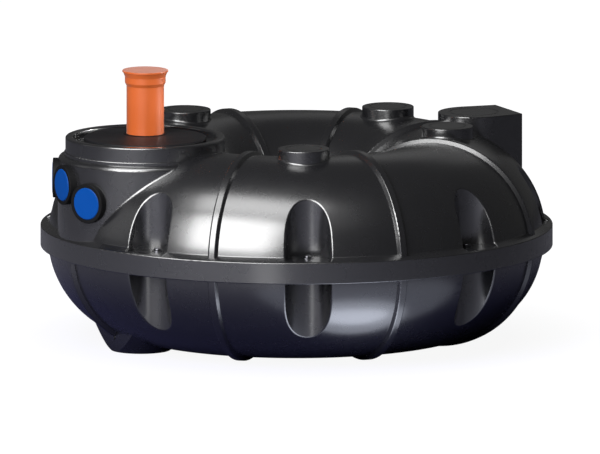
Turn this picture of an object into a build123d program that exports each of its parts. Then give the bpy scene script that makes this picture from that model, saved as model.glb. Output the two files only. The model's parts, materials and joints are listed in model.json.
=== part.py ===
from build123d import *
import os
from math import degrees, hypot, radians, sin, tan

# Ring tube, measured from the tank's vertical axis and the joint plane between its two shells
TUBE_CENTRE_RADIUS = 630.0
TUBE_RADIUS = 430.0
WALL = 10.0
BODY_RADIUS = TUBE_CENTRE_RADIUS + TUBE_RADIUS
HOLE_RADIUS = TUBE_CENTRE_RADIUS - TUBE_RADIUS

# Hollow hoop ribs round the tube
RIB_COUNT = 8
RIB_PITCH = 360 / RIB_COUNT
RIB_HEIGHT = 17.0
RIB_TOP_WIDTH = 28.0
RIB_BASE_WIDTH = 46.0
RIB_EDGE_RADIUS = 5.0
RIB_ROOT_DEPTH = 20.0
FLOOR_LEVEL = -(TUBE_RADIUS + RIB_HEIGHT)

# Flanges of the outer joint: the upper one carries a skirt that laps over the lower one
BAND_WIDTH = 30.0
BAND_RADIUS = BODY_RADIUS + BAND_WIDTH
BAND_HALF_HEIGHT = 45.0
BAND_SLOPE_ANGLE = 28.0
BAND_EDGE_RADIUS = 4.0
FLANGE_FOOT_FILLET = 5.0
SKIRT_THICKNESS = 12.0
SKIRT_CLEARANCE = 0.5
LOWER_FLANGE_RISE = 7.0
LOWER_FLANGE_DEPTH = BAND_HALF_HEIGHT - LOWER_FLANGE_RISE

# Lips of the inner joint, round the hole through the ring
LIP_WIDTH = 17.0
LIP_THICKNESS = 12.0

# Half-round recesses down to the flange, each with a bolt through the joint
RECESS_ANGLES = (27.5, 67.5, 112.5, 152.5)
RECESS_INSET = 29.0
RECESS_AXIS_RADIUS = BODY_RADIUS - RECESS_INSET
RECESS_RADIUS = 99.0
RECESS_TAPER = 2.0
RECESS_STEP = 5.0
RECESS_FLOOR = BAND_HALF_HEIGHT + RECESS_STEP
RECESS_CROWN = 130.0
RECESS_HEIGHT = TUBE_RADIUS - RECESS_CROWN
RECESS_RIM_RADIUS = 8.0
BOLT_INSET = 82.0
BOLT_CIRCLE_RADIUS = BODY_RADIUS - BOLT_INSET
BOLT_HOLE_RADIUS = 9.0

# Top of all turrets and stubs
TOP_RISE = 41.0
TOP_LEVEL = TUBE_RADIUS + TOP_RISE
TOP_EDGE_RADIUS = 4.0
RING_WIDTH = 5.0
RING_DEPTH = 2.0

# Blank pipe stubs on top of the ring
STUB_ANGLES = (27.5, 112.5)
STUB_OFFSET = 12.0
STUB_AXIS_RADIUS = TUBE_CENTRE_RADIUS + STUB_OFFSET
STUB_RADIUS = 110.0
STUB_FOOT_FILLET = 9.0
STUB_RING_INSET = 30.0
STUB_RING_RADIUS = STUB_RADIUS - STUB_RING_INSET

# Round manhole turret with its stepped neck
MANHOLE_OFFSET = 82.0
MANHOLE_AXIS_RADIUS = TUBE_CENTRE_RADIUS + MANHOLE_OFFSET
TURRET_BAND_INSET = 4.0
TURRET_DRAFT = 4.0
TURRET_FOOT_RADIUS = BAND_RADIUS - TURRET_BAND_INSET - MANHOLE_AXIS_RADIUS
TURRET_TOP_RADIUS = TURRET_FOOT_RADIUS - TURRET_DRAFT
TURRET_FOOT_FILLET = 12.0
SHOULDER_DROP = 38.0
SHOULDER_LEVEL = TUBE_RADIUS - SHOULDER_DROP
SHOULDER_WIDTH = 30.0
SHOULDER_RADIUS = 20.0
STEP_WIDTH = 5.0
STEP_HEIGHT = 16.0
STEP_LEVEL = SHOULDER_LEVEL + STEP_HEIGHT
STEP_EDGE_RADIUS = 3.0
NECK_WALL = 34.0
NECK_RADIUS = TURRET_TOP_RADIUS - SHOULDER_WIDTH
NECK_INNER_RADIUS = NECK_RADIUS - NECK_WALL
NECK_EDGE_RADIUS = 8.0
NECK_DEPTH = 27.0
LEDGE_LEVEL = TOP_LEVEL - NECK_DEPTH
LEDGE_WIDTH = 66.0
MANHOLE_RADIUS = NECK_INNER_RADIUS - LEDGE_WIDTH

# Lid in the neck, with the hole for the drain pipe
LID_LAP = 20.0
LID_RADIUS = MANHOLE_RADIUS + LID_LAP
LID_HEIGHT = 24.0
LID_TOP_LEVEL = LEDGE_LEVEL + LID_HEIGHT
LID_PLATE = 12.0
LID_RIM = 14.0
LID_EDGE_RADIUS = 5.0
LID_GUIDE_CLEARANCE = 2.0
LID_GUIDE_DEPTH = 14.0

# Drain pipe with a socket, placed from the manhole's edge along X and Y, and its seal in the lid
PIPE_EDGE_X = 206.0
PIPE_EDGE_Y = 168.0
PIPE_AXIS_X = MANHOLE_RADIUS - PIPE_EDGE_X - MANHOLE_AXIS_RADIUS
PIPE_AXIS_Y = MANHOLE_RADIUS - PIPE_EDGE_Y
PIPE_RADIUS = 80.0
PIPE_WALL = 4.7
PIPE_DROP = 94.0
PIPE_FOOT_LEVEL = LEDGE_LEVEL - PIPE_DROP
SOCKET_WALL = 7.0
SOCKET_RADIUS = PIPE_RADIUS + SOCKET_WALL
PIPE_RISE = 208.0
SOCKET_FOOT_LEVEL = LID_TOP_LEVEL + PIPE_RISE
SOCKET_SHOULDER = 14.0
SOCKET_LENGTH = 39.0
SOCKET_FLARE_LEVEL = SOCKET_FOOT_LEVEL + SOCKET_LENGTH
SOCKET_FLARE_WIDTH = 8.0
SOCKET_MOUTH_RADIUS = SOCKET_RADIUS + SOCKET_FLARE_WIDTH
SOCKET_FLARE_HEIGHT = 21.0
SOCKET_MOUTH_LEVEL = SOCKET_FLARE_LEVEL + SOCKET_FLARE_HEIGHT
SOCKET_CLEARANCE = 0.5
SEAL_WALL = 8.0
SEAL_LIP_WIDTH = 6.0
SEAL_LIP_HEIGHT = 3.0
SEAL_DEPTH = 16.0
SEAL_CLEARANCE = 0.3

# Plug in the socket
PLUG_OVERHANG = 3.0
PLUG_FLANGE_RADIUS = SOCKET_MOUTH_RADIUS + PLUG_OVERHANG
PLUG_FLANGE = 7.0
PLUG_SPIGOT_LENGTH = 38.0
PLUG_EDGE_RADIUS = 2.0

# Plugged inlets in the turret: arc along its foot from the tank's axis, and drop below its shoulder
INLETS = {"1": (0.0, 106.0), "2": (163.188, 166.0), "3": (-176.243, 102.0)}
INLET_PROJECTION = 19.0
INLET_FACE_RADIUS = TURRET_FOOT_RADIUS + INLET_PROJECTION
INLET_PLUG_RADIUS = 68.5
INLET_FLANGE_WIDTH = 16.5
INLET_SEAL_RADIUS = INLET_PLUG_RADIUS + INLET_FLANGE_WIDTH
INLET_SLEEVE_WALL = 4.7
INLET_SLEEVE_OVERHANG = 15.0
INLET_SLEEVE_END = TURRET_TOP_RADIUS - WALL - INLET_SLEEVE_OVERHANG
INLET_EDGE_RADIUS = 2.5
INLET_PLUG_WALL = 4.0
INLET_PLUG_PROUD = 2.0
INLET_PLUG_OVERHANG = 5.0
INLET_PLUG_END = INLET_SLEEVE_END - INLET_PLUG_OVERHANG
INLET_PLUG_CHAMFER = 3.0

# U-shaped turret opposite the manhole
U_TURRET_INSET = 226.0
U_TURRET_AXIS_RADIUS = BODY_RADIUS - U_TURRET_INSET
U_TURRET_RADIUS = 153.0
U_TURRET_FACE_INSET = 60.0
U_TURRET_FACE_RADIUS = BODY_RADIUS - U_TURRET_FACE_INSET
U_TURRET_FACE_WIDTH = 268.0
U_TURRET_CORNER_RADIUS = 6.0
U_TURRET_RING_INSET = 48.0
U_TURRET_RING_RADIUS = U_TURRET_RADIUS - U_TURRET_RING_INSET

# Sump under the manhole, a cone with one flat side and a drain boss on it
SUMP_OFFSET = 103.0
SUMP_AXIS_RADIUS = TUBE_CENTRE_RADIUS + SUMP_OFFSET
SUMP_FLOOR_RADIUS = 127.0
SUMP_FACE_RADIUS = SUMP_AXIS_RADIUS + SUMP_FLOOR_RADIUS
SUMP_HEIGHT = 117.0
SUMP_SIDE_ANGLE = 45.0
SUMP_BOSS_RADIUS = 9.0
SUMP_BOSS_HEIGHT = 4.0
SUMP_BOSS_RISE = 60.0


def side(upper):
    return 1 if upper else -1


def mirrored(angles):
    return sorted(list(angles) + [360 - angle for angle in angles])


def within(angles, start, sweep):
    turns = [angle + turn for angle in angles for turn in (-360, 0, 360)]
    return [angle for angle in turns if start <= angle <= start + sweep]


def sector(section, start, sweep):
    return Rot(0, 0, start) * revolve(Plane.XZ * section, Axis.Z, sweep)


def wedge(start, sweep):
    reach = 2 * BAND_RADIUS
    quarter = Pos(reach / 2, reach / 2, 0) * Box(reach, reach, 2 * reach)
    return (Rot(0, 0, start) * quarter) & (Rot(0, 0, start + sweep - 90) * quarter)


def column(radius, foot, top):
    return Pos(0, 0, foot) * Cylinder(radius, top - foot, align=(Align.CENTER, Align.CENTER, Align.MIN))


def turned(points, x, y=0.0, rounded=()):
    outline = Polygon(*points, align=None)
    for corner, radius in rounded:
        near = outline.vertices().sort_by_distance((corner[0], corner[1], 0))[0]
        outline = fillet(near, radius)
    return Pos(x, y, 0) * revolve(Plane.XZ * outline, Axis.Z, 360)


def edges_on_wall(body, kind, centre, inner, outer):
    def on_wall(edge):
        points = [edge @ share for share in (0.1, 0.5, 0.9)]
        reaches = [hypot(point.X - centre.X, point.Y - centre.Y) for point in points]
        return inner < min(reaches) and max(reaches) < outer
    return body.edges().filter_by(kind).filter_by(on_wall).sort_by(SortBy.LENGTH)


# Ring: tube, flanges, lips, ribs and bolt recesses
def half_disc(radius, upper):
    half = Pos(TUBE_CENTRE_RADIUS, side(upper) * radius / 2) * Rectangle(2 * radius, radius)
    return (Pos(TUBE_CENTRE_RADIUS, 0) * Circle(radius)) & half


def upper_flange():
    root = BODY_RADIUS - 3 * WALL
    skirt = BAND_RADIUS - SKIRT_THICKNESS
    slope_top = BAND_HALF_HEIGHT + (BAND_RADIUS - root) * tan(radians(BAND_SLOPE_ANGLE))
    outline = Polygon(
        (root, 0), (skirt, 0), (skirt, -BAND_HALF_HEIGHT), (BAND_RADIUS, -BAND_HALF_HEIGHT),
        (BAND_RADIUS, BAND_HALF_HEIGHT), (root, slope_top), align=None,
    )
    return fillet(outline.vertices().group_by(Axis.X)[-1], BAND_EDGE_RADIUS)


def lower_flange():
    root = BODY_RADIUS - 3 * WALL
    rim = BAND_RADIUS - SKIRT_THICKNESS - SKIRT_CLEARANCE
    return Polygon(
        (root, 0), (rim, 0), (rim, -LOWER_FLANGE_DEPTH), (root, -LOWER_FLANGE_DEPTH), align=None,
    )


def inner_lip(upper):
    root = HOLE_RADIUS + WALL
    middle = side(upper) * LIP_THICKNESS / 2
    return Pos(root - (LIP_WIDTH + WALL) / 2, middle) * Rectangle(LIP_WIDTH + WALL, LIP_THICKNESS)


def flanged_tube(start, sweep, upper):
    flange = upper_flange() if upper else lower_flange()
    return sector(half_disc(TUBE_RADIUS, upper), start, sweep) + sector(flange, start, sweep)


def eased_flange(body):
    circles = edges_on_wall(body, GeomType.CIRCLE, Pos(0, 0, 0).position, BODY_RADIUS - WALL, BODY_RADIUS)
    return fillet([edge for edge in circles if (edge @ 0.5).Z > 0], FLANGE_FOOT_FILLET)


def rib(angle, upper, shrink=0.0):
    height = RIB_HEIGHT - shrink
    crest = TUBE_RADIUS + height
    root = TUBE_RADIUS - RIB_ROOT_DEPTH
    slope = (RIB_BASE_WIDTH - RIB_TOP_WIDTH) / RIB_HEIGHT
    top_width = RIB_TOP_WIDTH - shrink
    foot_width = top_width + (height + RIB_ROOT_DEPTH) * slope
    outline = Polygon(
        (-foot_width / 2, root), (-top_width / 2, crest), (top_width / 2, crest), (foot_width / 2, root), align=None,
    )
    if shrink == 0:
        outline = fillet(outline.vertices().group_by(Axis.Y)[-1], RIB_EDGE_RADIUS)
    plane = Plane(origin=(TUBE_CENTRE_RADIUS, 0, 0), x_dir=(0, 1, 0), z_dir=(0, 0, -1))
    tube_axis = Axis((TUBE_CENTRE_RADIUS, 0, 0), (0, -side(upper), 0))
    return Rot(0, 0, angle) * revolve(plane * outline, tube_axis, 180)


def ribs(start, sweep, upper, shrink=0.0):
    angles = within([RIB_PITCH * index for index in range(RIB_COUNT)], start, sweep)
    return [rib(angle, upper, shrink) & wedge(start, sweep) for angle in angles]


def recess(angle, upper):
    top_radius = RECESS_RADIUS - RECESS_HEIGHT * sin(radians(RECESS_TAPER))
    floor = RECESS_FLOOR if upper else LOWER_FLANGE_DEPTH
    cone = Pos(0, 0, floor) * Cone(
        RECESS_RADIUS, top_radius, RECESS_HEIGHT, align=(Align.CENTER, Align.CENTER, Align.MIN))
    placed = Pos(RECESS_AXIS_RADIUS, 0, 0) * cone
    return Rot(0, 0, angle) * (placed if upper else mirror(placed, Plane.XY))


def recess_core(angle, upper):
    radius = RECESS_RADIUS + WALL
    top_radius = radius - (RECESS_FLOOR + RECESS_HEIGHT) * sin(radians(RECESS_TAPER))
    cone = Cone(radius, top_radius, RECESS_FLOOR + RECESS_HEIGHT, align=(Align.CENTER, Align.CENTER, Align.MIN))
    placed = Pos(RECESS_AXIS_RADIUS, 0, 0) * cone
    return Rot(0, 0, angle) * (placed if upper else mirror(placed, Plane.XY))


def bolt_hole(angle):
    return Rot(0, 0, angle) * Pos(BOLT_CIRCLE_RADIUS, 0, 0) * Cylinder(BOLT_HOLE_RADIUS, 4 * RECESS_FLOOR)


def with_ring_details(body, start, sweep, upper):
    body += sector(inner_lip(upper), start, sweep)
    for hoop in ribs(start, sweep, upper):
        if not upper:
            hoop -= Pos(-SUMP_AXIS_RADIUS, 0, 0) * column(SUMP_FLOOR_RADIUS - RIB_EDGE_RADIUS, FLOOR_LEVEL, 0)
        body += hoop
    for angle in within(mirrored(RECESS_ANGLES), start, sweep):
        body -= recess(angle, upper)
        centre = (Rot(0, 0, angle) * Pos(RECESS_AXIS_RADIUS, 0, 0)).position
        rim = edges_on_wall(body, GeomType.BSPLINE, centre, RECESS_RADIUS - 2 * WALL, RECESS_RADIUS + 1)[-1:]
        body = fillet(rim, RECESS_RIM_RADIUS)
        body -= bolt_hole(angle)
    return body


def ring_outside(start, sweep, upper):
    tube = flanged_tube(start, sweep, upper)
    return with_ring_details(eased_flange(tube) if upper else tube, start, sweep, upper)


def ring_inside(start, sweep, upper):
    cavity = sector(half_disc(TUBE_RADIUS - WALL, upper), start, sweep)
    for channel in ribs(start, sweep, upper, shrink=WALL):
        cavity += channel
    for angle in within(mirrored(RECESS_ANGLES), start, sweep):
        cavity -= recess_core(angle, upper)
    return cavity


# Stubs and turrets on the upper shell
def ring_groove(radius):
    groove = column(radius, TOP_LEVEL - RING_DEPTH, 2 * TOP_LEVEL)
    return groove - column(radius - RING_WIDTH, 0, 2 * TOP_LEVEL)


def with_stubs(outside, inside, start, sweep):
    for angle in within(mirrored(STUB_ANGLES), start, sweep):
        place = Rot(0, 0, angle) * Pos(STUB_AXIS_RADIUS, 0, 0)
        outside += place * column(STUB_RADIUS, TUBE_RADIUS / 2, TOP_LEVEL)
        walls = (place.position, STUB_RADIUS - 1, STUB_RADIUS + 1)
        outside = fillet(edges_on_wall(outside, GeomType.BSPLINE, *walls), STUB_FOOT_FILLET)
        outside = fillet(edges_on_wall(outside, GeomType.CIRCLE, *walls).sort_by(Axis.Z)[-1:], TOP_EDGE_RADIUS)
        outside -= place * ring_groove(STUB_RING_RADIUS)
        inside += place * column(STUB_RADIUS - WALL, TUBE_RADIUS / 2, TOP_LEVEL - WALL)
    return outside, inside


def turret_outside():
    shoulder = (TURRET_TOP_RADIUS, SHOULDER_LEVEL)
    step = (NECK_RADIUS + STEP_WIDTH, STEP_LEVEL)
    rim_outside = (NECK_RADIUS, TOP_LEVEL)
    rim_inside = (NECK_INNER_RADIUS, TOP_LEVEL)
    points = [
        (0, 0), (TURRET_FOOT_RADIUS, 0), shoulder, (step[0], SHOULDER_LEVEL), step,
        (NECK_RADIUS, STEP_LEVEL), rim_outside, rim_inside, (NECK_INNER_RADIUS, LEDGE_LEVEL), (0, LEDGE_LEVEL),
    ]
    rounded = [(shoulder, SHOULDER_RADIUS), (step, STEP_EDGE_RADIUS),
               (rim_outside, NECK_EDGE_RADIUS), (rim_inside, NECK_EDGE_RADIUS)]
    return turned(points, -MANHOLE_AXIS_RADIUS, rounded=rounded)


def turret_inside():
    neck = NECK_RADIUS - WALL
    points = [
        (0, 0), (TURRET_FOOT_RADIUS - WALL, 0), (TURRET_TOP_RADIUS - WALL, SHOULDER_LEVEL - WALL),
        (neck, SHOULDER_LEVEL - WALL), (neck, LEDGE_LEVEL - WALL), (MANHOLE_RADIUS, LEDGE_LEVEL - WALL),
        (MANHOLE_RADIUS, 2 * TOP_LEVEL), (0, 2 * TOP_LEVEL),
    ]
    return turned(points, -MANHOLE_AXIS_RADIUS)


def u_outline(shrink):
    face = U_TURRET_FACE_RADIUS - shrink
    half_width = U_TURRET_FACE_WIDTH / 2 - shrink
    arc = Pos(U_TURRET_AXIS_RADIUS, 0) * Circle(U_TURRET_RADIUS - shrink).edge()
    return make_hull([arc, Line((face, -half_width), (face, half_width))])


def u_turret(shrink):
    return extrude(Plane.XY * u_outline(shrink), TOP_LEVEL - shrink)


def with_u_turret(outside, inside):
    outside += u_turret(0)
    corners = outside.edges().filter_by(Axis.Z).filter_by(
        lambda edge: abs((edge @ 0.5).X - U_TURRET_FACE_RADIUS) < 1)
    outside = fillet(corners, U_TURRET_CORNER_RADIUS)
    top_face = outside.faces().filter_by(Axis.Z).filter_by(
        lambda face: face.center().X > U_TURRET_AXIS_RADIUS - U_TURRET_RADIUS / 2).sort_by(Axis.Z)[-1]
    outside = fillet(top_face.edges(), TOP_EDGE_RADIUS)
    outside -= Pos(U_TURRET_AXIS_RADIUS, 0, 0) * ring_groove(U_TURRET_RING_RADIUS)
    return outside, inside + u_turret(WALL)


# Sump under the lower shell
def sump(shrink):
    flare = SUMP_HEIGHT * tan(radians(SUMP_SIDE_ANGLE))
    floor_radius = SUMP_FLOOR_RADIUS - shrink * tan(radians(SUMP_SIDE_ANGLE / 2))
    cone = Cone(floor_radius, floor_radius + flare, SUMP_HEIGHT, align=(Align.CENTER, Align.CENTER, Align.MIN))
    reach = 2 * BAND_RADIUS
    inward = Pos(shrink - SUMP_FACE_RADIUS, 0, 0) * Box(
        reach, reach, reach, align=(Align.MIN, Align.CENTER, Align.CENTER))
    return (Pos(-SUMP_AXIS_RADIUS, 0, FLOOR_LEVEL + shrink) * cone) & inward


def sump_boss():
    boss = Rot(0, -90, 0) * column(SUMP_BOSS_RADIUS, -WALL, SUMP_BOSS_HEIGHT)
    return Pos(-SUMP_FACE_RADIUS, 0, FLOOR_LEVEL + SUMP_BOSS_RISE) * boss


# Bays of the two shells
def upper_bay(start, sweep):
    outside, inside = with_stubs(ring_outside(start, sweep, True), ring_inside(start, sweep, True), start, sweep)
    return outside - inside


def lower_bay(start, sweep):
    return ring_outside(start, sweep, False) - ring_inside(start, sweep, False)


def manhole_bay(start, sweep):
    axis = Pos(-MANHOLE_AXIS_RADIUS, 0, 0)
    bowl = axis * column(NECK_INNER_RADIUS, LEDGE_LEVEL, 2 * TOP_LEVEL)
    outside = flanged_tube(start, sweep, True) + turret_outside() - bowl
    foot = edges_on_wall(outside, GeomType.BSPLINE, axis.position, TURRET_TOP_RADIUS - 1, TURRET_FOOT_RADIUS + 1)
    outside = eased_flange(fillet(foot[-2:], TURRET_FOOT_FILLET))
    outside = with_ring_details(outside, start, sweep, True)
    shell = outside - (ring_inside(start, sweep, True) + turret_inside())
    for arc, drop in INLETS.values():
        bore = column(INLET_PLUG_RADIUS + INLET_SLEEVE_WALL + SEAL_CLEARANCE, 0, BAND_RADIUS)
        shell -= inlet_place(arc, drop) * bore
    return shell


def u_turret_bay(start, sweep):
    outside, inside = with_stubs(ring_outside(start, sweep, True), ring_inside(start, sweep, True), start, sweep)
    outside, inside = with_u_turret(outside, inside)
    return outside - inside


def sump_bay(start, sweep):
    outside = ring_outside(start, sweep, False) + sump(0) + sump_boss()
    return outside - (ring_inside(start, sweep, False) + sump(WALL))


# Inlets: seal in the turret's wall and plug in the seal
def inlet_place(arc, drop):
    direction = 180 + degrees(arc / TURRET_FOOT_RADIUS)
    return Pos(-MANHOLE_AXIS_RADIUS, 0, SHOULDER_LEVEL - drop) * Rot(0, 0, direction) * Rot(0, 90, 0)


def inlet_seal(arc, drop):
    place = inlet_place(arc, drop)
    flange = column(INLET_SEAL_RADIUS, INLET_SLEEVE_END, INLET_FACE_RADIUS)
    flange = place * fillet(flange.edges().group_by(Axis.Z)[-1], INLET_EDGE_RADIUS)
    sleeve = place * column(INLET_PLUG_RADIUS + INLET_SLEEVE_WALL, INLET_SLEEVE_END, INLET_FACE_RADIUS - WALL)
    bore = place * column(INLET_PLUG_RADIUS + SEAL_CLEARANCE, 0, BAND_RADIUS)
    wall = Pos(-MANHOLE_AXIS_RADIUS, 0, 0) * Cone(
        TURRET_FOOT_RADIUS + SEAL_CLEARANCE, TURRET_TOP_RADIUS + SEAL_CLEARANCE, SHOULDER_LEVEL,
        align=(Align.CENTER, Align.CENTER, Align.MIN))
    return flange - wall + sleeve - bore


def inlet_plug(arc, drop):
    face = INLET_FACE_RADIUS + INLET_PLUG_PROUD
    body = column(INLET_PLUG_RADIUS, INLET_PLUG_END, face)
    body = chamfer(body.edges().group_by(Axis.Z)[-1], INLET_PLUG_CHAMFER)
    hollow = column(INLET_PLUG_RADIUS - INLET_PLUG_WALL, 0, face - INLET_PLUG_WALL)
    return inlet_place(arc, drop) * (body - hollow)


# Lid, drain pipe, its seal and its plug
def lid():
    guide = MANHOLE_RADIUS - LID_GUIDE_CLEARANCE
    plate_foot = LID_TOP_LEVEL - LID_PLATE
    top_edge = (LID_RADIUS, LID_TOP_LEVEL)
    points = [
        (0, plate_foot), (guide - LID_RIM, plate_foot), (guide - LID_RIM, LEDGE_LEVEL - LID_GUIDE_DEPTH),
        (guide, LEDGE_LEVEL - LID_GUIDE_DEPTH), (guide, LEDGE_LEVEL), (LID_RADIUS, LEDGE_LEVEL),
        top_edge, (0, LID_TOP_LEVEL),
    ]
    disc = turned(points, -MANHOLE_AXIS_RADIUS, rounded=[(top_edge, LID_EDGE_RADIUS)])
    return disc - Pos(PIPE_AXIS_X, PIPE_AXIS_Y, 0) * column(PIPE_RADIUS + SEAL_WALL + SEAL_CLEARANCE, 0, 2 * TOP_LEVEL)


def pipe_seal():
    bore = PIPE_RADIUS + SEAL_CLEARANCE
    wall = PIPE_RADIUS + SEAL_WALL
    points = [
        (bore, LID_TOP_LEVEL - SEAL_DEPTH), (wall, LID_TOP_LEVEL - SEAL_DEPTH), (wall, LID_TOP_LEVEL),
        (wall + SEAL_LIP_WIDTH, LID_TOP_LEVEL), (wall, LID_TOP_LEVEL + SEAL_LIP_HEIGHT),
        (bore, LID_TOP_LEVEL + SEAL_LIP_HEIGHT),
    ]
    return turned(points, PIPE_AXIS_X, PIPE_AXIS_Y)


def drain_pipe():
    bore = PIPE_RADIUS - PIPE_WALL
    socket_bore = PIPE_RADIUS + SOCKET_CLEARANCE
    shoulder_level = SOCKET_FOOT_LEVEL + SOCKET_SHOULDER
    points = [
        (bore, PIPE_FOOT_LEVEL), (PIPE_RADIUS, PIPE_FOOT_LEVEL), (PIPE_RADIUS, SOCKET_FOOT_LEVEL),
        (SOCKET_RADIUS, shoulder_level), (SOCKET_RADIUS, SOCKET_FLARE_LEVEL),
        (SOCKET_MOUTH_RADIUS, SOCKET_MOUTH_LEVEL), (socket_bore, SOCKET_MOUTH_LEVEL),
        (socket_bore, shoulder_level), (bore, SOCKET_FOOT_LEVEL),
    ]
    return turned(points, PIPE_AXIS_X, PIPE_AXIS_Y)


def pipe_plug():
    top = SOCKET_MOUTH_LEVEL + PLUG_FLANGE
    spigot_foot = SOCKET_MOUTH_LEVEL - PLUG_SPIGOT_LENGTH
    bore = PIPE_RADIUS - PIPE_WALL
    top_edge = (PLUG_FLANGE_RADIUS, top)
    points = [
        (0, SOCKET_MOUTH_LEVEL), (bore, SOCKET_MOUTH_LEVEL), (bore, spigot_foot), (PIPE_RADIUS, spigot_foot),
        (PIPE_RADIUS, SOCKET_MOUTH_LEVEL), (PLUG_FLANGE_RADIUS, SOCKET_MOUTH_LEVEL), top_edge, (0, top),
    ]
    return turned(points, PIPE_AXIS_X, PIPE_AXIS_Y, rounded=[(top_edge, PLUG_EDGE_RADIUS)])


parts = {
    "upper_shell_manhole_bay": manhole_bay(180 - RIB_PITCH, 2 * RIB_PITCH),
    "upper_shell_turret_bay": u_turret_bay(-RIB_PITCH, 2 * RIB_PITCH),
    "lower_shell_sump_bay": sump_bay(180 - RIB_PITCH, 2 * RIB_PITCH),
    "manhole_lid": lid(),
    "pipe_seal": pipe_seal(),
    "drain_pipe": drain_pipe(),
    "pipe_plug": pipe_plug(),
}
for number, steps in enumerate((1, 2, 5, 6), start=1):
    parts[f"upper_shell_bay_{number}"] = upper_bay(steps * RIB_PITCH, RIB_PITCH)
for number, steps in enumerate((5, 6, 7, 0, 1, 2), start=1):
    parts[f"lower_shell_bay_{number}"] = lower_bay(steps * RIB_PITCH, RIB_PITCH)
for number, (arc, drop) in INLETS.items():
    parts[f"inlet_seal_{number}"] = inlet_seal(arc, drop)
    parts[f"inlet_plug_{number}"] = inlet_plug(arc, drop)

os.makedirs("parts", exist_ok=True)
for name, shape in parts.items():
    export_step(Pos(0, 0, -FLOOR_LEVEL) * shape, f"parts/{name}.step")
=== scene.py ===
import json
from collections import namedtuple
from math import cos, pi, radians, sin

import bmesh
import bpy
from mathutils import Matrix, Vector


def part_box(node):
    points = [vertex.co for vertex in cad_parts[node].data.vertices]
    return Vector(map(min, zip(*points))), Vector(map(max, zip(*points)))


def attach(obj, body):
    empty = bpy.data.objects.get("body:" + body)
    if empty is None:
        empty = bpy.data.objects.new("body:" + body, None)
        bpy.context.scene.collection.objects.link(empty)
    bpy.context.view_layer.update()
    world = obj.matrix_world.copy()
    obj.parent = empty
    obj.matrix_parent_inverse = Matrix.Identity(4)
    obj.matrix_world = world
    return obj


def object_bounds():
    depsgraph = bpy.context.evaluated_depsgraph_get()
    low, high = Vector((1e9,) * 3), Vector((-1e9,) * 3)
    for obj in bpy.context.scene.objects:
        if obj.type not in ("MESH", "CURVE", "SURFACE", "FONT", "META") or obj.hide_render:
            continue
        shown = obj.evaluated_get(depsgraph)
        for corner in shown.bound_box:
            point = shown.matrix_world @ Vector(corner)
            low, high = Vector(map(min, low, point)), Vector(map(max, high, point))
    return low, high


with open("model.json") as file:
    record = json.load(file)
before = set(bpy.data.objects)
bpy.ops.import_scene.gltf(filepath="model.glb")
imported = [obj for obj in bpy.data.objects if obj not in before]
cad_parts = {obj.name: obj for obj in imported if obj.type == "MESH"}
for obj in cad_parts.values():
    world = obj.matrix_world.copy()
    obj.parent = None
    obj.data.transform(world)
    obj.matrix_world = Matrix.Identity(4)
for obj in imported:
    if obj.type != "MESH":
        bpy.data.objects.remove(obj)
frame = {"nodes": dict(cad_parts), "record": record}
cad_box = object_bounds()

# All lengths are in metres and all angles in degrees

# Levels taken from the frame, and the middle of the tank's joint
JOINT_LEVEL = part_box("lower_shell_bay_1")[1].z
FLOOR_LEVEL = cad_box[0].z
CENTRE = Vector((0, 0, JOINT_LEVEL))

# Joint bolts, one through each recess: a domed cap above the joint and a nut below it
RECESS_ANGLES = (27.5, 67.5, 112.5, 152.5)
BOLT_CIRCLE_RADIUS = 0.978
UPPER_SEAT = JOINT_LEVEL + 0.050
LOWER_SEAT = JOINT_LEVEL - 0.038
BOLT_SHARP_ANGLE = 35
Layer = namedtuple("Layer", "radius height sides rounding steps")
WASHER = Layer(radius=0.0240, height=0.0030, sides=48, rounding=0.0010, steps=2)
BOLT_CAP = Layer(radius=0.0165, height=0.0120, sides=48, rounding=0.0095, steps=8)
NUT = Layer(radius=0.0139, height=0.0130, sides=6, rounding=0.0012, steps=2)
BOLT_END = Layer(radius=0.0080, height=0.0090, sides=32, rounding=0.0012, steps=2)

# Plastics: clouds that mottle the colour and the gloss, and the skin grain
CLOUD_SCALE = 7.0
CLOUD_DETAIL = 6.0
CLOUD_RANGE = (0.3, 0.7)
GRAIN_DETAIL = 3.0
GRAIN_DEPTH_SHARE = 0.25
COAT_ROUGHNESS = 0.26
SHEEN_ROUGHNESS = 0.35

# Plated steel of the bolts: 8-bit screen colour and a gloss with fine spots
STEEL_COLOUR = (96, 96, 100)
STEEL_SPOT_SCALE = 220.0
STEEL_ROUGHNESS = (0.2, 0.42)

# Floor: the paint goes from near to far and the glow from shadowed to full white,
# each between two distances from the tank's axis
FLOOR_SIZE = 60.0
FLOOR_DROP = 0.0005
FLOOR_ROUGHNESS = 0.9
# painted shade: the paint near the tank is darker and bluer, so the underside reflects a darker
# floor
PAINTED_SHADE_NEAR = (0.016, 0.016, 0.070)
PAINT_FAR = (0.27, 0.27, 0.32)
PAINT_REACH = (1.1, 3.2)
# painted shade: the glow that the camera sees is lower near the tank, a grey ring whether lit or
# not
GLOW_REACH = (0.9, 1.4)
SHADOWED_WHITE = 0.92

# View of the photograph: no perspective, 9 degrees above the floor
VIEW_ANGLE = -115.25
VIEW_ELEVATION = 9.0
VIEW_DISTANCE = 40.0
METRES_PER_PIXEL = 0.004255
IMAGE_WIDTH = 600
AIM_RIGHT = 0.0145
AIM_UP = 0.030
NEAR_CLIP = 1.0
FAR_CLIP = 400.0

# Studio lamps: name, angle from the view, elevation, width, height and radiance
WHITE = (1.0, 1.0, 1.0)
COOL = (0.82, 0.87, 1.0)
LAMP_DISTANCE = 6.0
STUDIO_LAMPS = (
    ("key", -30, 28, 4.3, 3.7, 9.0),
    ("key_top", -30, 60, 4.8, 2.0, 4.4),
    ("fill", 12, 50, 3.4, 3.0, 0.16),
    ("left", -88, 20, 2.0, 3.0, 0.30),
    ("back", 165, 30, 3.0, 2.0, 0.12),
)
WORLD_LEVEL = 0.055

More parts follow.
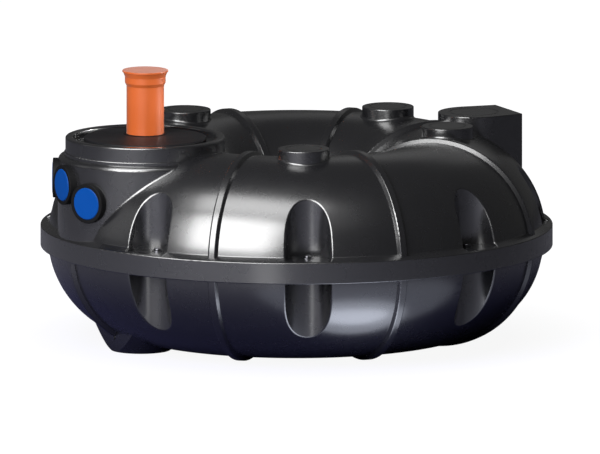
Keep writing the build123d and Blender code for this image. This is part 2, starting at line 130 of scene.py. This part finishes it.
# Cards on the floor, one over the other, that light the underside of the ring:
# name, angle from the view, radius, height above the floor, width, depth and radiance
FLOOR_CARDS = (
    ("card_bright", 17, 1.13, 0.010, 0.46, 0.18, 1.6),
    ("card_middle", 17, 1.16, 0.006, 0.70, 0.42, 1.05),
    ("card_faint", 22, 1.52, 0.002, 2.00, 1.00, 0.32),
)

# Low upright card before the tank, seen as a stripe in the recesses
STRIPE_ANGLE = -10
STRIPE_DISTANCE = 2.2
STRIPE_LEVEL = 0.20
STRIPE_WIDTH = 0.34
STRIPE_HEIGHT = 0.38
STRIPE_RADIANCE = 1.1

# Spot on the pipe's right side, narrow enough to miss the shell
SPOT_ANGLE = 98
SPOT_ELEVATION = 9
SPOT_DISTANCE = 5.0
SPOT_WATTS = 2400
SPOT_CONE = 4.4
SPOT_BLEND = 0.4
SPOT_SIZE = 0.2


def srgb(*channels):
    """Linear colour of an 8-bit screen colour."""
    def linear(value):
        share = value / 255
        return share / 12.92 if share <= 0.04045 else ((share + 0.055) / 1.055) ** 2.4
    return tuple(linear(channel) for channel in channels)


def opaque(colour):
    return (*colour, 1.0)


def new_material(name):
    material = bpy.data.materials.new(name)
    material.use_nodes = True
    tree = material.node_tree
    return material, tree, tree.nodes["Principled BSDF"]


def node(tree, kind, inputs=(), **settings):
    made = tree.nodes.new(kind)
    for name, value in settings.items():
        setattr(made, name, value)
    for name, value in dict(inputs).items():
        made.inputs[name].default_value = value
    return made


def object_place(tree):
    return node(tree, "ShaderNodeTexCoord").outputs["Object"]


def noise(tree, place, scale, detail=2.0):
    made = node(tree, "ShaderNodeTexNoise", {"Scale": scale, "Detail": detail})
    tree.links.new(place, made.inputs["Vector"])
    return made.outputs["Fac"]


def mapped(tree, value, source, target):
    """The value carried from the source range over to the target range."""
    made = node(tree, "ShaderNodeMapRange", {
        "From Min": source[0], "From Max": source[1], "To Min": target[0], "To Max": target[1]})
    tree.links.new(value, made.inputs["Value"])
    return made.outputs["Result"]


def blend(tree, share, first, second):
    """A colour between two constant ones."""
    made = node(tree, "ShaderNodeMix", {"A": opaque(first), "B": opaque(second)}, data_type="RGBA")
    tree.links.new(share, made.inputs["Factor"])
    return made.outputs["Result"]


def plastic(name, colour, roughness, spread, grain, relief, mottle,
            ior=1.5, coat=0.0, level=0.5, sheen=0.0):
    """Moulded plastic: slight mottling of the colour, uneven gloss and a fine skin grain."""
    material, tree, shader = new_material(name)
    shader.inputs["IOR"].default_value = ior
    shader.inputs["Specular IOR Level"].default_value = level
    shader.inputs["Sheen Weight"].default_value = sheen
    shader.inputs["Sheen Roughness"].default_value = SHEEN_ROUGHNESS
    shader.inputs["Coat Weight"].default_value = coat
    shader.inputs["Coat Roughness"].default_value = COAT_ROUGHNESS
    place = object_place(tree)

    clouds = noise(tree, place, CLOUD_SCALE, CLOUD_DETAIL)
    darker = tuple(channel * (1 - mottle) for channel in colour)
    lighter = tuple(min(1.0, channel * (1 + mottle)) for channel in colour)
    tree.links.new(blend(tree, clouds, darker, lighter), shader.inputs["Base Color"])
    gloss = mapped(tree, clouds, CLOUD_RANGE, (roughness - spread, roughness + spread))
    tree.links.new(gloss, shader.inputs["Roughness"])

    skin = noise(tree, place, 1 / grain, GRAIN_DETAIL)
    bump = node(tree, "ShaderNodeBump", {
        "Strength": relief, "Distance": grain * GRAIN_DEPTH_SHARE})
    tree.links.new(skin, bump.inputs["Height"])
    tree.links.new(bump.outputs["Normal"], shader.inputs["Normal"])
    return material


def steel(name):
    """Dark plated steel of the joint bolts."""
    material, tree, shader = new_material(name)
    shader.inputs["Base Color"].default_value = opaque(srgb(*STEEL_COLOUR))
    shader.inputs["Metallic"].default_value = 1.0
    spots = noise(tree, object_place(tree), STEEL_SPOT_SCALE)
    tree.links.new(mapped(tree, spots, (0.0, 1.0), STEEL_ROUGHNESS), shader.inputs["Roughness"])
    return material


def finishes():
    """The material of each slot in the record."""
    looks = {
        "shell_black": dict(
            colour=(0.007, 0.007, 0.0085), roughness=0.27, spread=0.02,
            grain=0.008, relief=0.012, mottle=0.10, ior=1.95, coat=1.0),
        "lid_black": dict(
            colour=(0.009, 0.009, 0.0105), roughness=0.52, spread=0.05,
            grain=0.002, relief=0.18, mottle=0.15, level=0.25),
        "pipe_orange": dict(
            colour=srgb(188, 90, 40), roughness=0.34, spread=0.04,
            grain=0.006, relief=0.06, mottle=0.05, sheen=0.2),
        "plug_blue": dict(
            colour=srgb(0, 64, 140), roughness=0.50, spread=0.05,
            grain=0.002, relief=0.15, mottle=0.08, level=0.15),
        "seal_rubber": dict(
            colour=(0.003, 0.003, 0.0035), roughness=0.66, spread=0.06,
            grain=0.0015, relief=0.2, mottle=0.2, level=0.2),
    }
    return {slot: plastic(slot, **look) for slot, look in looks.items()}


def dress(nodes, materials):
    """Each node of the frame in the material of its slot."""
    slots = {entry["node"]: entry["material_slot"] for entry in frame["record"]["subparts"]}
    for name, piece in nodes.items():
        piece.data.materials.clear()
        piece.data.materials.append(materials[slots[name]])


def object_from(name, mesh, material):
    data = bpy.data.meshes.new(name)
    mesh.to_mesh(data)
    mesh.free()
    data.materials.append(material)
    made = bpy.data.objects.new(name, data)
    bpy.context.scene.collection.objects.link(made)
    return made


def prism(mesh, x, y, foot, layer, side):
    """A disc or prism that grows up or down from its foot; returns the level of its far face."""
    middle = Matrix.Translation((x, y, foot + side * layer.height / 2))
    made = bmesh.ops.create_cone(
        mesh, cap_ends=True, segments=layer.sides, radius1=layer.radius, radius2=layer.radius,
        depth=layer.height, matrix=middle)
    edges = dict.fromkeys(edge for vertex in made["verts"] for edge in vertex.link_edges)
    rim = [edge for edge in edges
           if all(side * (vertex.co.z - foot) > layer.height / 2 for vertex in edge.verts)]
    bmesh.ops.bevel(mesh, geom=rim, offset=layer.rounding, affect="EDGES",
                    segments=layer.steps, profile=0.5, material=-1)
    return foot + side * layer.height


def joint_bolts(material):
    mesh = bmesh.new()
    for angle in RECESS_ANGLES + tuple(-angle for angle in RECESS_ANGLES):
        x = BOLT_CIRCLE_RADIUS * cos(radians(angle))
        y = BOLT_CIRCLE_RADIUS * sin(radians(angle))
        for level, side, layers in ((UPPER_SEAT, 1, (WASHER, BOLT_CAP)),
                                    (LOWER_SEAT, -1, (WASHER, NUT, BOLT_END))):
            for layer in layers:
                level = prism(mesh, x, y, level, layer, side)
    bolts = object_from("joint_bolts", mesh, material)
    for face in bolts.data.polygons:
        face.use_smooth = True
    bolts.data.set_sharp_from_angle(angle=radians(BOLT_SHARP_ANGLE))
    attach(bolts, "root")


def floor_finish():
    """Pale floor that the camera sees as white, with a trace of the shadow near the tank and
    painted shade there: darker paint and a lower glow.
    """
    material, tree, shader = new_material("studio_floor")
    shader.inputs["Roughness"].default_value = FLOOR_ROUGHNESS
    shader.inputs["Emission Color"].default_value = opaque(WHITE)
    length = node(tree, "ShaderNodeVectorMath", operation="LENGTH")
    tree.links.new(object_place(tree), length.inputs[0])
    reach = length.outputs["Value"]
    # painted shade: the paint is darker and bluer near the tank, and the underside reflects it
    spread = mapped(tree, reach, PAINT_REACH, (0.0, 1.0))
    tree.links.new(blend(tree, spread, PAINTED_SHADE_NEAR, PAINT_FAR), shader.inputs["Base Color"])
    seen = node(tree, "ShaderNodeMath", operation="MULTIPLY")
    # painted shade: the glow that the camera sees is lower near the tank
    tree.links.new(mapped(tree, reach, GLOW_REACH, (SHADOWED_WHITE, 1.0)), seen.inputs[0])
    tree.links.new(node(tree, "ShaderNodeLightPath").outputs["Is Camera Ray"], seen.inputs[1])
    tree.links.new(seen.outputs["Value"], shader.inputs["Emission Strength"])
    return material


def studio_floor():
    mesh = bmesh.new()
    below = Matrix.Translation((0, 0, FLOOR_LEVEL - FLOOR_DROP))
    bmesh.ops.create_grid(mesh, x_segments=1, y_segments=1, size=FLOOR_SIZE, matrix=below)
    object_from("studio_floor", mesh, floor_finish())


def direction(angle, elevation=0):
    """Unit vector at an angle from the view, round +Z, and an elevation above the floor."""
    turn, rise = radians(VIEW_ANGLE + angle), radians(elevation)
    return Vector((cos(turn) * cos(rise), sin(turn) * cos(rise), sin(rise)))


def turned_to(place, aim):
    """Rotation of a lamp at the place that shines at the aim."""
    return (place - aim).to_track_quat("Z", "Y").to_euler()


def lamp_object(name, kind, place, turn, colour=WHITE):
    """A lamp that the camera doesn't see; returns its data."""
    lamp = bpy.data.lights.new(name, kind)
    lamp.color = colour
    made = bpy.data.objects.new(name, lamp)
    made.location = place
    made.rotation_euler = turn
    made.visible_camera = False
    bpy.context.scene.collection.objects.link(made)
    return lamp


def panel(lamp, shape, width, height, radiance):
    """Size of an area lamp, and the power that keeps its radiance at any size."""
    lamp.shape = shape
    lamp.size = width
    lamp.size_y = height
    lamp.energy = radiance * pi * width * height


def softbox(name, angle, elevation, width, height, radiance):
    place = CENTRE + direction(angle, elevation) * LAMP_DISTANCE
    lamp = lamp_object(name, "AREA", place, turned_to(place, CENTRE))
    panel(lamp, "RECTANGLE", width, height, radiance)


def floor_card(name, angle, radius, lift, width, depth, radiance):
    place = direction(angle) * radius + Vector((0, 0, FLOOR_LEVEL + lift))
    face_up = (pi, 0, radians(VIEW_ANGLE + angle + 90))
    panel(lamp_object(name, "AREA", place, face_up, COOL), "ELLIPSE", width, depth, radiance)


def stripe_card():
    aim = Vector((0, 0, FLOOR_LEVEL + STRIPE_LEVEL))
    place = direction(STRIPE_ANGLE) * STRIPE_DISTANCE
    place.z = aim.z
    lamp = lamp_object("stripe_card", "AREA", place, turned_to(place, aim))
    panel(lamp, "RECTANGLE", STRIPE_WIDTH, STRIPE_HEIGHT, STRIPE_RADIANCE)


def pipe_spot():
    """Aimed at the middle of the pipe's part above the lid."""
    low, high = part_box("drain_pipe")
    aim = (low + high) / 2
    aim.z = (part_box("manhole_lid")[1].z + high.z) / 2
    place = aim + direction(SPOT_ANGLE, SPOT_ELEVATION) * SPOT_DISTANCE
    lamp = lamp_object("pipe_spot", "SPOT", place, turned_to(place, aim))
    lamp.energy = SPOT_WATTS
    lamp.spot_size = radians(SPOT_CONE)
    lamp.spot_blend = SPOT_BLEND
    lamp.shadow_soft_size = SPOT_SIZE


def studio_world():
    """White to the camera and dim to the tank."""
    world = bpy.data.worlds.new("studio")
    bpy.context.scene.world = world
    world.use_nodes = True
    tree = world.node_tree
    sky = tree.nodes["Background"]
    sky.inputs["Color"].default_value = opaque(WHITE)
    seen = node(tree, "ShaderNodeLightPath").outputs["Is Camera Ray"]
    tree.links.new(mapped(tree, seen, (0.0, 1.0), (WORLD_LEVEL, 1.0)), sky.inputs["Strength"])


def lights():
    studio_world()
    for lamp in STUDIO_LAMPS:
        softbox(*lamp)
    for card in FLOOR_CARDS:
        floor_card(*card)
    stripe_card()
    pipe_spot()


def camera():
    lens = bpy.data.cameras.new("camera")
    lens.type = "ORTHO"
    lens.ortho_scale = IMAGE_WIDTH * METRES_PER_PIXEL
    lens.clip_start = NEAR_CLIP
    lens.clip_end = FAR_CLIP
    eye = bpy.data.objects.new("camera", lens)
    back = direction(0, VIEW_ELEVATION)
    right = Vector((0, 0, 1)).cross(back).normalized()
    up = back.cross(right)
    aim = CENTRE + right * AIM_RIGHT + up * AIM_UP
    eye.location = aim + back * VIEW_DISTANCE
    eye.rotation_mode = "QUATERNION"
    eye.rotation_quaternion = back.to_track_quat("Z", "Y")
    bpy.context.scene.collection.objects.link(eye)
    bpy.context.scene.camera = eye


dress(frame["nodes"], finishes())
joint_bolts(steel("bolt_steel"))
studio_floor()
lights()
camera()
bpy.context.scene.view_settings.view_transform = "Standard"
